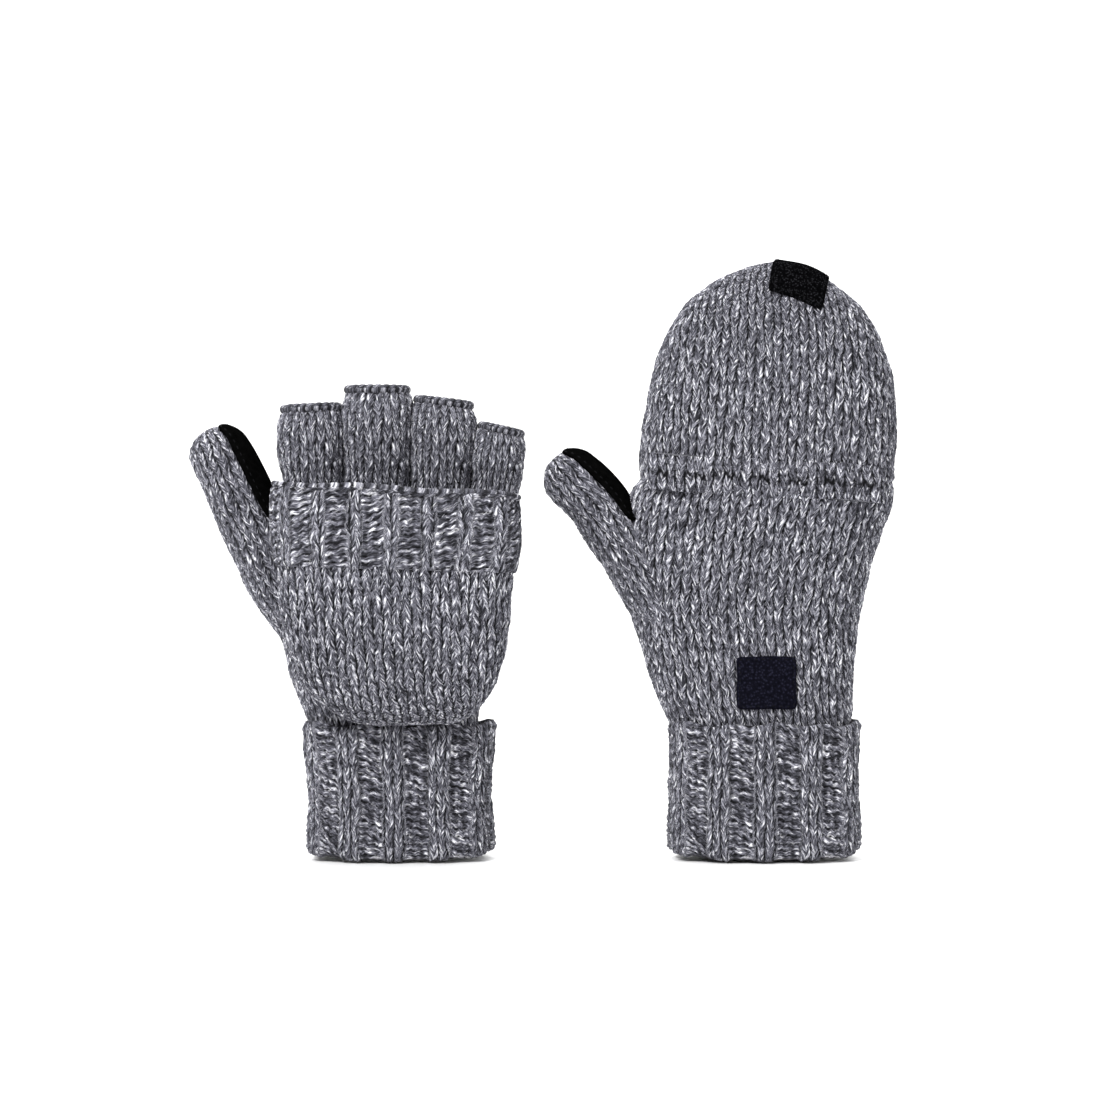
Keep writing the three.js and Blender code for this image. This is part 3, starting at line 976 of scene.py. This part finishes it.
# %% Paint the patches
def suede(name):
    """Black suede: a short, blotchy nap over a fine grain."""
    paint = Paint(name)
    place = paint.node("ShaderNodeTexCoord", {}, out=3)
    nap = paint.node("ShaderNodeTexNoise", {}, Vector=place, Scale=420.0, Detail=3.0, Roughness=0.6)
    grain = paint.node("ShaderNodeTexNoise", {}, Vector=place, Scale=2600.0, Detail=2.0, Roughness=0.7)
    tone = paint.node("ShaderNodeValToRGB", {"stops": [
        (0.35, grey(0.0008)), (0.65, grey(0.0025)), (0.85, grey(0.007))]}, nap * 0.55 + grain * 0.45)
    bump = paint.node("ShaderNodeBump", {}, Strength=0.6, Distance=0.0003,
                      Height=grain * 0.7 + nap * 0.3)
    paint.shader.inputs["Specular IOR Level"].default_value = 0.0
    return paint.surface(Base_Color=tone, Roughness=0.95, Normal=bump)


def tape(name, dark, bright, blue, cell):
    """Hook or loop tape: a dense field of tiny loops, each a painted highlight on a dark ground."""
    paint = Paint(name)
    place = paint.node("ShaderNodeTexCoord", {}, out=3)
    loops = paint.node("ShaderNodeTexVoronoi", {"feature": "F1"}, Vector=place, Scale=cell,
                       Randomness=0.9)
    fuzz = paint.node("ShaderNodeTexNoise", {}, Vector=place, Scale=cell * 1.9, Detail=3.0,
                      Roughness=0.65)
    # Painted highlight: each cell's middle is painted bright, as the top of a loop catching light.
    tone = paint.node("ShaderNodeValToRGB", {"stops": [
        (0.25, grey(dark, blue)), (0.55, grey(dark * 2.2, blue)), (0.8, grey(bright, blue))]},
        (1 - loops) * 0.5 + fuzz * 0.5)
    bump = paint.node("ShaderNodeBump", {}, Strength=0.7, Distance=0.0004,
                      Height=(1 - loops) * 0.6 + fuzz * 0.4)
    paint.shader.inputs["Specular IOR Level"].default_value = 0.0
    return paint.surface(Base_Color=tone, Roughness=0.85, Normal=bump)


suede_material = suede("black_suede")
hook_material = tape("hook_tape", 0.0008, 0.028, 1.15, 1100.0)
loop_material = tape("loop_tape", 0.0022, 0.020, 1.8, 800.0)
print("materials:", suede_material.name, hook_material.name, loop_material.name)

# %% Sew on the thumb patches
SEWN = {}                    # grids of the patches, for the thread
THUMB_PATCH_SIDE = 0.165     # half the patch's reach round the thumb, in turns
INNER_SIDE = 0.75            # turn of the thumb's side that faces the hand


def thumb_side(mitten, count):
    """Even rows of the thumb's skin between the patch's ends."""
    rows, _ = through(thumb_stations(mitten["thumb"]), 200)
    root = np.array(mitten["thumb"][2][:2])
    gone = np.linalg.norm(rows[:, :2] - root, axis=1) * np.sign(rows[:, 1] - root[1])
    start, least_radius = (19 if mitten["folded"] else 25), 5.2
    kept = rows[(gone > start) & (rows[:, 2] > least_radius)]
    line, own = np.linspace(0, len(kept) - 1, count), np.arange(len(kept))
    return np.stack([np.interp(line, own, kept[:, k]) for k in range(kept.shape[1])], axis=-1)


def on_grid(grid, at_row, at_col):
    """Points of a grid that closes on itself, between its rows and columns."""
    low, left = np.floor(at_row).astype(int).clip(0, len(grid) - 2), np.floor(at_col).astype(int)
    t, u = (at_row - low)[..., None], (at_col - left)[..., None]
    pick = lambda r, c: grid[r, c % grid.shape[1]]
    return ((1 - t) * ((1 - u) * pick(low, left) + u * pick(low, left + 1))
            + t * ((1 - u) * pick(low + 1, left) + u * pick(low + 1, left + 1)))


for key, mitten in MITTENS.items():
    kept = thumb_side(mitten, 70)
    across, along = rounded_rectangle(np.linspace(-1, 1, 44), np.linspace(-1, 1, 70), 0.12)
    turn = INNER_SIDE + THUMB_PATCH_SIDE * across * (1 - 0.12 * along ** 2)
    face = on_grid(thumb_shape(kept, np.arange(360) / 360), (along + 1) / 2 * (len(kept) - 1), turn * 360)
    facing = grid_normals(face, (kept[35, 0], 0.0, kept[35, 1]))
    SEWN[key, "suede"] = (face, facing, "thumb", "suede")
    patch = slab(f"{key}_thumb_suede", f"{key}_thumb", face, facing, mitten["middle"], 1.0, 0.3)
    dress(patch, suede_material, "suede", f"{key}_thumb_grip_patch")
    print(patch.name, "faces", len(patch.data.polygons))

# %% Sew on the loop patches
LOOP_WIDE, LOOP_TALL = 25.0, 22.0

for key, mitten in MITTENS.items():
    lowest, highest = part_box(f"{key}_loop_patch")
    middle_z = (lowest[2] + highest[2]) / 2 / MM
    a, b = rounded_rectangle(np.linspace(-1, 1, 60), np.linspace(-1, 1, 54), 0.05)
    a = a * (1 - 0.018 * np.cos(2.2 * b)) + 0.008 * np.sin(5 * b)
    b = b + 0.014 * np.sin(4 * a + 1)
    x, z = a * LOOP_WIDE / 2, middle_z + b * LOOP_TALL / 2
    y = BACK + 0.35 * np.abs(x / (LOOP_WIDE / 2)) ** 2.4
    face = np.stack([x, y, z], axis=-1)
    fuzz = 0.10 * np.sin(x * 4.1 + 2 * np.sin(z * 3.3)) * np.sin(z * 4.7 + np.sin(x * 2.9))
    facing = grid_normals(face, (0, 0, middle_z))
    SEWN[key, "loop"] = (face, facing, "hand", "loop_tape")
    patch = slab(f"{key}_loop_tape", f"{key}_hand", face, facing, mitten["middle"], 0.9, 0.4, fuzz)
    dress(patch, loop_material, "loop_tape", f"{key}_loop_patch")
    print(patch.name, "faces", len(patch.data.polygons))

# %% Sew on the hook patches
HOOK_WIDE, HOOK_LONG = 23.0, 23.5
HOOK_MIDDLE = 14.0           # x of its middle
HOOK_TURN = math.radians(-11)


def cap_arch(mitten, x, angles):
    """Points of the cap's skin over one x: from its back, over the tip, to its palm side.

    A ray goes out from a point inside the cap at each angle, and halving finds where the
    superellipse of its height is crossed.
    """
    rows, _ = through(mitten["cap"], 400)
    tip = rows[-1, 0]
    core = np.array([tip - 24, (rows[-1, 3] + rows[-1, 4]) / 2 + 2])
    near, far = np.zeros_like(angles + x), np.full_like(angles + x, 60.0)
    for _ in range(26):
        half = (near + far) / 2
        along = core[0] + half * np.sin(angles)
        depth = core[1] - half * np.cos(angles)
        left, right, back, palm = (np.interp(along, rows[:, 0], rows[:, k]) for k in (1, 2, 3, 4))
        wide, deep = np.maximum((right - left) / 2, 1e-3), np.maximum((palm - back) / 2, 1e-3)
        out = (np.abs((x - (left + right) / 2) / wide) ** ROUND_ABOUT
               + np.abs((depth - (back + palm) / 2) / deep) ** ROUND_ABOUT > 1) | (along > tip)
        near, far = np.where(out, near, half), np.where(out, half, far)
    return core[0] + near * np.sin(angles), core[1] - near * np.cos(angles)


def on_lane(want, lane, length, values):
    """Values at a distance along each point's own lane, read off in straight lines."""
    step = np.clip((length[lane] <= want[..., None]).sum(-1) - 1, 0, length.shape[1] - 2)
    low, high = length[lane, step], length[lane, step + 1]
    t = np.clip((want - low) / np.maximum(high - low, 1e-9), 0, 1)
    return (1 - t) * values[lane, step] + t * values[lane, step + 1]


def hook_face(mitten):
    """The hook patch's grid: x across, and distance over the tip measured along the skin."""
    fine = np.linspace(-0.6, 2.4, 220)[None, :]
    a, b = rounded_rectangle(np.linspace(-1, 1, 46), np.linspace(-1, 1, 44), 0.05)
    a, b = a * HOOK_WIDE / 2, b * HOOK_LONG / 2
    xs = HOOK_MIDDLE + np.linspace(-16, 16, 65)
    along, depth = cap_arch(mitten, xs[:, None], fine)
    step = np.hypot(np.diff(along, axis=1), np.diff(depth, axis=1))
    length = np.concatenate([np.zeros((len(xs), 1)), np.cumsum(step, axis=1)], axis=1)
    over = np.argmax(along, axis=1)
    length -= length[np.arange(len(xs)), over][:, None]
    x = HOOK_MIDDLE + a * math.cos(HOOK_TURN) - b * math.sin(HOOK_TURN)
    beyond = -2.5 if mitten["folded"] else 2.0
    want = -HOOK_LONG / 2 + beyond + b * math.cos(HOOK_TURN) + a * math.sin(HOOK_TURN)
    lane = (x - xs[0]) / (xs[1] - xs[0])
    i = np.clip(np.floor(lane).astype(int), 0, len(xs) - 2)
    t = lane - i
    along_at, depth_at = ((1 - t) * on_lane(want, i, length, v) + t * on_lane(want, i + 1, length, v)
                          for v in (along, depth))
    sign = -1 if mitten["folded"] else 1
    return np.stack([x, mitten["fold_y"] + sign * depth_at, mitten["fold_z"] + sign * along_at], axis=-1)


for key, mitten in MITTENS.items():
    face = hook_face(mitten)
    sign = -1 if mitten["folded"] else 1
    inside = (HOOK_MIDDLE, mitten["fold_y"] + sign * 12, mitten["fold_z"] + sign * 70)
    facing = grid_normals(face, inside)
    SEWN[key, "hook"] = (face, facing, "cap", "hook_tape")
    patch = slab(f"{key}_hook_tape", f"{key}_cap", face, facing, mitten["middle"], 0.9, 0.4)
    dress(patch, hook_material, "hook_tape", f"{key}_cap_hook_patch")
    flatten_cap(patch, mitten)
    print(patch.name, "faces", len(patch.data.polygons))

# %% [markdown]
# ## Thread
# The patches are sewn on with a running stitch: a row of short thread dashes a millimetre or
# two in from the edge. Each dash is a stretched ball that dives into the patch at both ends,
# with only a few dozen faces, and all dashes of a patch are one mesh.

# %% Sew the patches round
BORDER_IN = 3                # grid cells from the patch's edge to the stitching
DASH_EVERY = 3.1             # mm from dash to dash
DASH_HALF = 1.15             # mm, half a dash
DASH_THICK = 0.24            # mm, its radius
DASH_RINGS, DASH_SIDES = 5, 8


def border(grid):
    """A grid's values along a line a few cells inside its edge, once round."""
    inner = grid[BORDER_IN:-BORDER_IN, BORDER_IN:-BORDER_IN]
    return np.concatenate([inner[0], inner[:, -1], inner[-1, :0:-1], inner[:0:-1, 0]])


def dash_faces():
    """Quads between a dash's rings, and a triangle fan round each of its two ends."""
    k = np.arange(DASH_SIDES)
    beside, r = (k + 1) % DASH_SIDES, np.arange(DASH_RINGS - 1)[:, None] * DASH_SIDES
    quads = np.stack([r + k, r + beside, r + DASH_SIDES + beside, r + DASH_SIDES + k], axis=-1).reshape(-1, 4)
    first = DASH_RINGS * DASH_SIDES
    low = first - DASH_SIDES
    fans = np.concatenate([np.stack([np.full(DASH_SIDES, first), beside, k], axis=-1),
                           np.stack([np.full(DASH_SIDES, first + 1), low + k, low + beside], axis=-1)])
    return quads, fans


def dashes(name, face, facing, middle, lift):
    """A ring of thread dashes along the border of a grid, as one mesh of small stretched balls.

    A point of a dash lies reach * cos(tilt) along it and thick * sin(tilt) out from it, and
    stands off the patch by most of lift halfway and by less at the ends.
    """
    at, out = border(face), border(facing)
    length = np.concatenate([[0], np.cumsum(np.linalg.norm(np.diff(at, axis=0), axis=1))])
    spots = np.arange(DASH_EVERY / 2, length[-1], DASH_EVERY)
    at, out = (np.stack([np.interp(spots, length, v[:, k]) for k in range(3)], axis=-1) for v in (at, out))
    way = np.roll(at, -1, axis=0) - np.roll(at, 1, axis=0)
    way /= np.linalg.norm(way, axis=1, keepdims=True)
    side = np.cross(way, out)
    tilt = np.linspace(0, np.pi, DASH_RINGS + 2)[1:-1, None, None]
    turn = np.linspace(0, 2 * np.pi, DASH_SIDES, endpoint=False)[:, None]
    spot, along, up, over = (v[:, None, None, :] for v in (at, way, out, side))
    balls = (spot + along * DASH_HALF * np.cos(tilt)
             + (up * np.cos(turn) + over * np.sin(turn)) * DASH_THICK * np.sin(tilt)
             + up * lift * (0.4 + 0.6 * np.sin(tilt)))
    ends = [at + out * lift * 0.4 + way * DASH_HALF, at + out * lift * 0.4 - way * DASH_HALF]
    verts = np.concatenate([balls.reshape(len(at), -1, 3), np.stack(ends, axis=1)], axis=1)
    base = np.arange(len(at))[:, None, None] * verts.shape[1]
    faces = [row for part in dash_faces() for row in (base + part).reshape(-1, part.shape[1]).tolist()]
    verts = (verts.reshape(-1, 3) + np.array([middle[0], middle[1], 0])) * MM
    p, q, r = (verts[[f[k] for f in faces]] for k in range(3))
    if (p * np.cross(q, r)).sum() < 0:
        faces = [f[::-1] for f in faces]
    mesh = bpy.data.meshes.new(name)
    mesh.from_pydata(verts.tolist(), [], faces)
    mesh.polygons.foreach_set("use_smooth", np.full(len(mesh.polygons), True))
    piece = bpy.data.objects.new(name, mesh)
    bpy.context.scene.collection.objects.link(piece)
    print(name, "dashes", len(spots))
    return piece


thread_paint = Paint("black_thread")
thread_paint.shader.inputs["Specular IOR Level"].default_value = 0.05
thread = thread_paint.surface(Base_Color=(0.005, 0.005, 0.006, 1), Roughness=0.7)
THREAD_LIFT = {"suede": 1.35, "loop": 1.25, "hook": 1.25}

for (key, what), (face, facing, body, slot) in SEWN.items():
    mitten = MITTENS[key]
    sewn = dashes(f"{key}_{what}_thread", face, facing, mitten["middle"], THREAD_LIFT[what])
    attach(sewn, f"{key}_{body}")
    dress(sewn, thread, slot)
    if what == "hook":
        flatten_cap(sewn, mitten)

# %% [markdown]
# ## Knuckle seams
# The cap is knitted on along the back of the hand. That line is a narrow strip of knit which
# starts on the hand, runs round the fold line and ends on the cap. A piece that rode either
# body would leave a slit at the fold, so the strip is given no body and its place is baked in.

# %% Lay out the seam's strip
SEAM_FALL = 3.2              # mm the open cap's seam drops on either side of the middle
SEAM_IN = 5.0                # mm from the hand's edge to the strip's end
SEAM_RADIUS = 1.7            # mm of the half circle round the fold
SEAM_REACH = (-8, 7)         # mm the open cap's strip reaches below and above the fold


def seam_profile(mitten):
    """The strip's path in y and z: straight up when closed, over a half circle when folded."""
    fold_y, fold_z = mitten["fold_y"], mitten["fold_z"]
    if not mitten["folded"]:
        z = np.linspace(fold_z + SEAM_REACH[0], fold_z + SEAM_REACH[1], 70)
        return np.stack([np.full(70, BACK + 0.1), z], axis=-1)
    angle = np.linspace(0, np.pi, 30)
    bend = np.stack([fold_y + SEAM_RADIUS * np.cos(angle), fold_z + SEAM_RADIUS * np.sin(angle)], axis=-1)
    climb = np.linspace(fold_z - 8, fold_z - 0.4, 15)
    up = np.stack([np.full(15, BACK), climb], axis=-1)
    down = np.stack([np.full(15, fold_y - SEAM_RADIUS), climb[::-1]], axis=-1)
    return np.concatenate([up, bend, down])


def seam_face(mitten, path):
    """The strip's grid over the path, bowed back towards the hand's sides, with each column's x and lean."""
    _, left, right, *_ = mitten["hand"][-2]
    x = np.linspace(left + SEAM_IN, right - SEAM_IN, 25 * PER_STITCH)
    lean = (x - (left + right) / 2) / ((right - left) / 2)
    bow = np.clip((np.abs(lean) - 0.55) / 0.45, 0, 1) ** 2.2 * 5.5
    fall = np.zeros(len(x)) if mitten["folded"] else SEAM_FALL * lean + 0.5 * np.sin(x / 7.0)
    face = np.broadcast_arrays(x[None, :], path[:, 0, None] + bow[None, :], path[:, 1, None] - fall[None, :])
    return np.stack(face, axis=-1), x, lean


def seam_normals(mitten, face):
    """Normals away from the hand: over the fold they turn, so one point on the hand sets the sign."""
    if not mitten["folded"]:
        return grid_normals(face, (0, 0, 100.0))
    facing = np.cross(np.gradient(face, axis=0), np.gradient(face, axis=1))
    facing /= np.linalg.norm(facing, axis=-1, keepdims=True)
    return facing * -np.sign(facing[2, 90, 1])


# %% Knit the knuckle seams
def seam_gap(wale, climb):
    """The broken line under the open cap's ridge, deeper at some stitches than at others; it is cut in and
    also given painted shade.
    """
    stitch = np.sin(45.7 * np.floor(wale)) * 0.5 + 0.5
    gap_at = 0.45 + 0.05 * np.sin(2 * np.pi * wale) + 0.03 * np.sin(1.7 * wale)
    return np.exp(-(((climb - gap_at) / 0.075) ** 2)) * (0.15 + 0.75 * stitch)


def seam_ends(mitten):
    """Where the strip's bend starts on the hand and ends on the cap."""
    x, y = mitten["middle"][0] * MM, mitten["middle"][1] * MM
    if mitten["folded"]:
        return [(x, y + (mitten["fold_y"] + d) * MM, mitten["fold_z"] * MM) for d in (1.6, -1.6)]
    return [(x, y + BACK * MM, (mitten["fold_z"] + d) * MM) for d in (-1.6, 1.6)]


for key, mitten in MITTENS.items():
    path = seam_profile(mitten)
    length = np.concatenate([[0], np.cumsum(np.linalg.norm(np.diff(path, axis=0), axis=1))])
    face, x, lean = seam_face(mitten, path)
    rows_up = np.broadcast_to((length / COURSE)[:, None], face.shape[:2])
    wale = adrift(np.broadcast_to(((x - x[0]) / WALE)[None, :], face.shape[:2]), rows_up)
    rows_up = rows_up + 0.25 * np.sin(0.9 * wale)
    relief = knit_height(wale, rows_up, np.zeros(face.shape[:2]))
    facing = seam_normals(mitten, face)
    climb = np.linspace(0, 1, len(path))[:, None]
    edge = np.sin(np.pi * climb) ** 0.5
    if not mitten["folded"]:
        edge = edge * np.sin(np.pi / 2 * np.clip((1 - np.abs(lean)) / 0.32, 0, 1))[None, :]
        # The gap lowers the height, which both cuts the groove and paints it darker: painted shade in the
        # groove.
        relief = relief * (1 - 0.75 * seam_gap(wale, climb))
    puff = 1.5 * np.exp(-(((climb - 0.62) / 0.2) ** 2)) * (1 + 0.3 * np.sin(x / 5.3)[None, :])
    outer = face + facing * ((relief * YARN_HIGH - 0.9 + puff) * edge - 1.2 * (1 - edge))[..., None]
    points = np.concatenate([outer, (face - facing * 0.5)[:, ::-1]], axis=1)
    fill = lambda v: np.concatenate([v, v[:, ::-1]], axis=1)
    seam = skin(f"{key}_seam_knit", None, points, mitten["middle"], False,
                (fill(wale), fill(rows_up), np.zeros(points.shape[:2])), fill(relief))
    dress(seam, wool_material, "knit", f"{key}_knuckle_seam")
    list(seam_ends(mitten))
    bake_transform(seam)
    print(seam.name, "faces", len(seam.data.polygons))

# %% [markdown]
# ## Floor and light
# The mittens stand on a plain white sweep, a floor that curves up into the backdrop, so that
# no horizon shows. A key light comes from the upper left, with a broad fill on the right and
# a light for the backdrop.

# %% Make the stage
def sweep():
    """A white floor that curves up into a backdrop: a profile carried straight across."""
    angle = np.linspace(0, np.pi / 2, 24)
    y = np.concatenate([[-3.0], 1.2 + 0.8 * np.sin(angle), [2.0]])
    z = np.concatenate([[0.0], 0.8 - 0.8 * np.cos(angle), [3.5]])
    x = np.array([-4.0, 4.0])
    verts = [(a, b, c) for b, c in zip(y, z) for a in x]
    faces = [(2 * i, 2 * i + 1, 2 * i + 3, 2 * i + 2) for i in range(len(y) - 1)]
    mesh = bpy.data.meshes.new("floor")
    mesh.from_pydata(verts, [], faces)
    mesh.polygons.foreach_set("use_smooth", np.full(len(mesh.polygons), True))
    floor = bpy.data.objects.new("floor", mesh)
    bpy.context.scene.collection.objects.link(floor)
    return floor


floor = sweep()
floor_paint = Paint("white_sweep")
floor.data.materials.append(floor_paint.surface(Base_Color=(0.93, 0.93, 0.93, 1), Roughness=0.35))
print("floor:", floor.name)


def soft_light(name, place, aim, size, power):
    """A square area light at a place, turned to face a point."""
    data = bpy.data.lights.new(name, "AREA")
    data.size, data.energy = size, power
    light = bpy.data.objects.new(name, data)
    light.location = place
    light.rotation_euler = (Vector(aim) - Vector(place)).to_track_quat("-Z", "Y").to_euler()
    bpy.context.scene.collection.objects.link(light)


soft_light("key", (-0.72, -0.95, 1.25), (0, 0, 0.14), 0.38, 25.5)
soft_light("fill", (1.4, -1.5, 0.7), (0, 0, 0.12), 1.2, 10)
soft_light("backdrop", (0, 0.5, 2.4), (0, 1.6, 0.3), 2.5, 70)
bpy.context.scene.view_settings.view_transform = "Standard"

world = bpy.data.worlds.new("world")
bpy.context.scene.world = world
world.use_nodes = True
sky = world.node_tree.nodes["Background"]
sky.inputs["Color"].default_value = (1, 1, 1, 1)
sky.inputs["Strength"].default_value = 0.5
